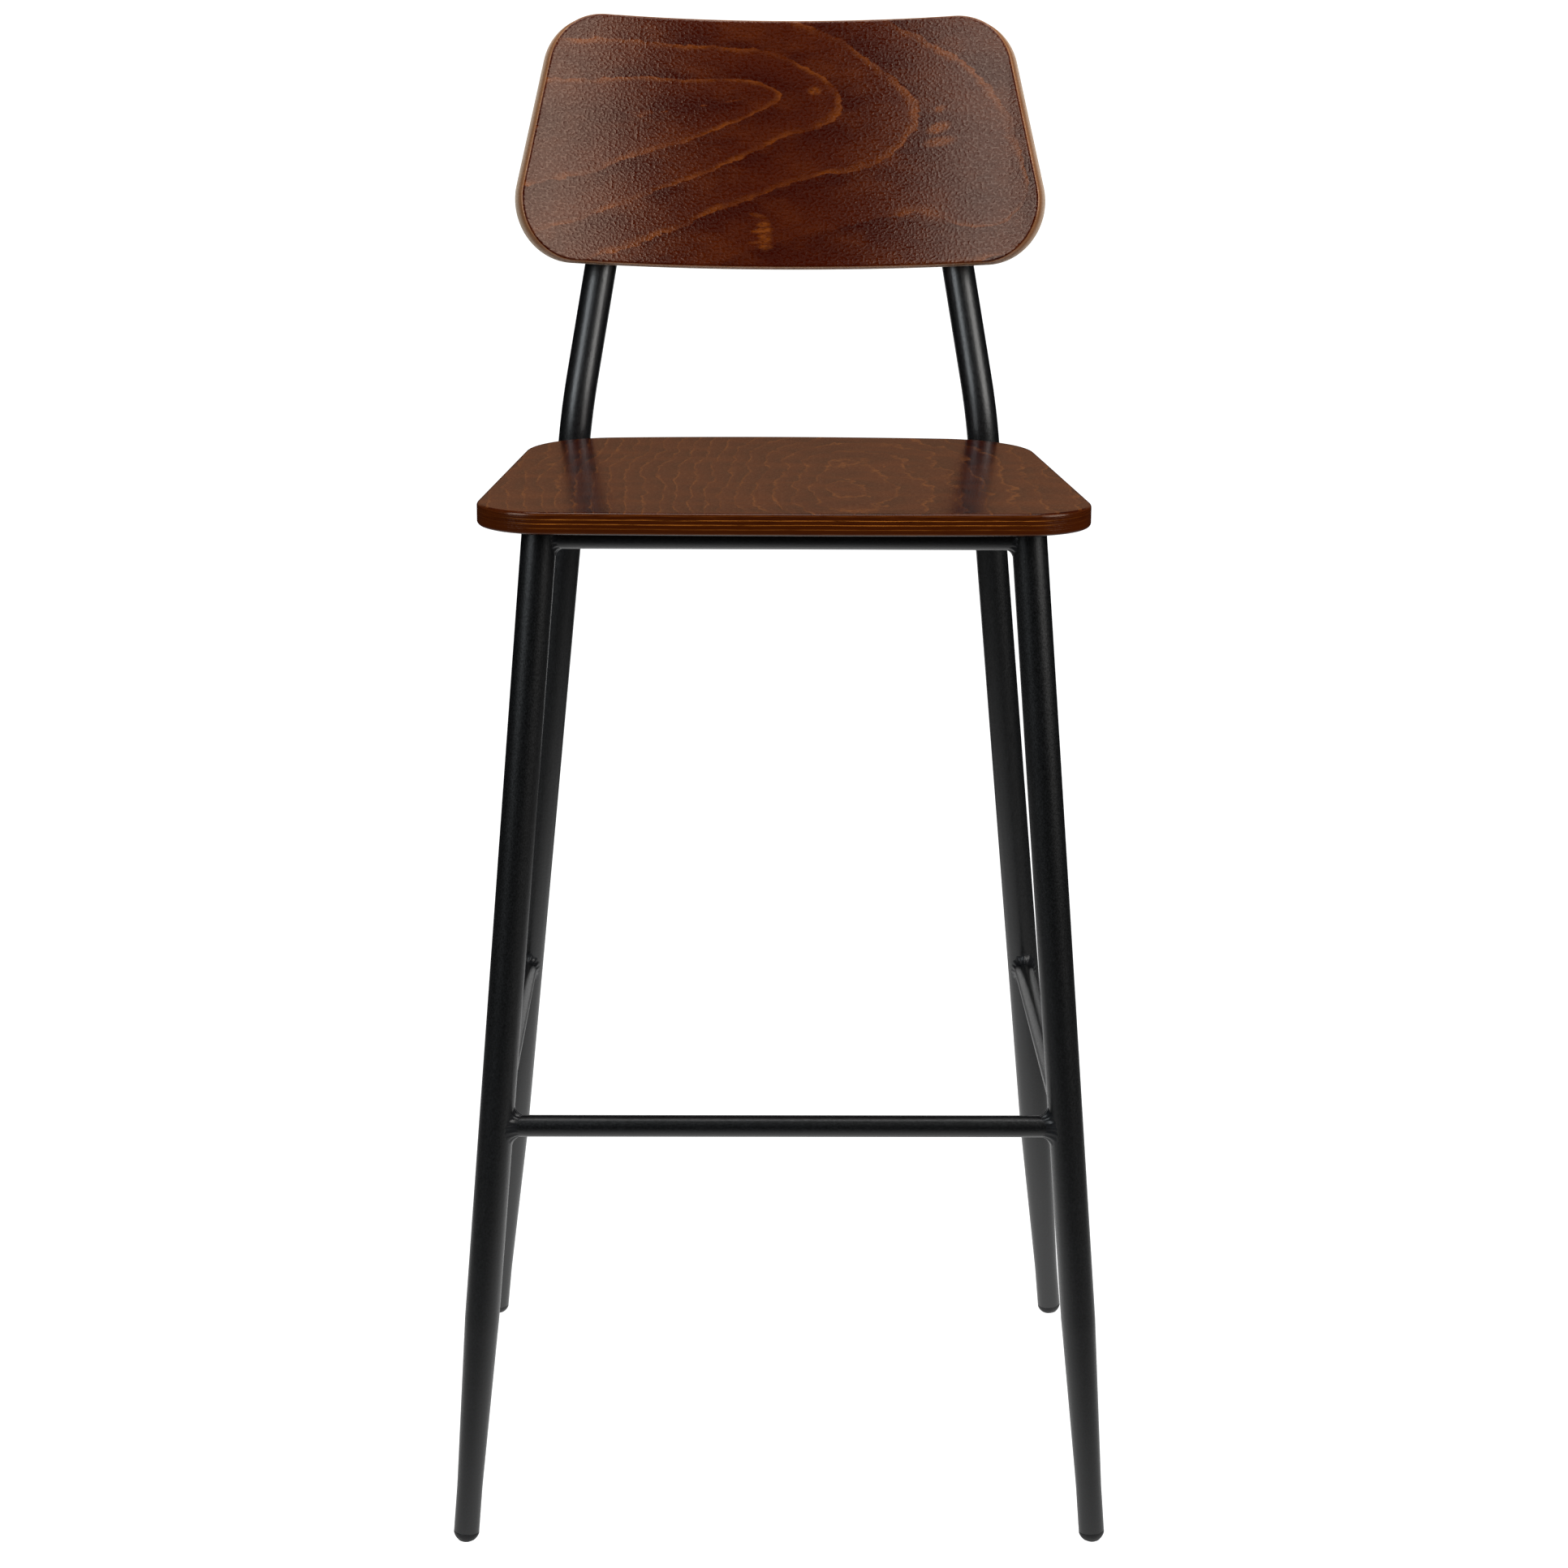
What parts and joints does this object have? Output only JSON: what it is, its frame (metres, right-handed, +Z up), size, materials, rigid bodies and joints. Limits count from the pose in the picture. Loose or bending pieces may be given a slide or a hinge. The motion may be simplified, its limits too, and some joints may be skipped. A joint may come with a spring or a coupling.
{
  "type": "bar stool",
  "caption": "Bar stool with a welded round-tube frame, tapered splayed legs, a tube footrest, a plywood seat and a low bent plywood backrest.",
  "frame": {"origin": "on the floor, below the middle of the stool's overall width and depth", "axes": "+Z up along the stool's height, -Y towards the front where the footrest is, +X to the right as seen from the front"},
  "size_m": [0.4978, 0.4851, 1.1027],
  "materials": {
    "seat_wood": "walnut-stained plywood, semi-gloss lacquer",
    "back_wood": "walnut-stained bent plywood, semi-gloss lacquer",
    "frame_paint": "black powder coat, satin, finely textured",
    "black_plastic": "black moulded plastic",
    "black_steel": "black-oxide socket screws",
    "zinc_steel": "bright zinc plate",
    "insert_brass": "turned brass"
  },
  "bodies": {
    "root": {"seat_panel": "seat_wood", "backrest_panel": "back_wood", "front_left_leg": "frame_paint", "front_right_leg": "frame_paint", "rear_left_post": "frame_paint", "rear_right_post": "frame_paint", "footrest_bar": "frame_paint", "left_stretcher": "frame_paint", "right_stretcher": "frame_paint", "front_seat_rail": "frame_paint", "rear_seat_rail": "frame_paint", "left_seat_rail": "frame_paint", "right_seat_rail": "frame_paint", "front_left_seat_tab": "frame_paint", "front_right_seat_tab": "frame_paint", "rear_left_seat_tab": "frame_paint", "rear_right_seat_tab": "frame_paint", "seat_screws": "zinc_steel", "seat_washers": "zinc_steel", "seat_inserts": "insert_brass", "backrest_bolts": "black_steel", "backrest_inserts": "insert_brass", "left_post_plug": "black_plastic", "right_post_plug": "black_plastic", "front_left_foot": "black_plastic", "front_right_foot": "black_plastic", "rear_left_foot": "black_plastic", "rear_right_foot": "black_plastic"}
  },
  "joints": []
}
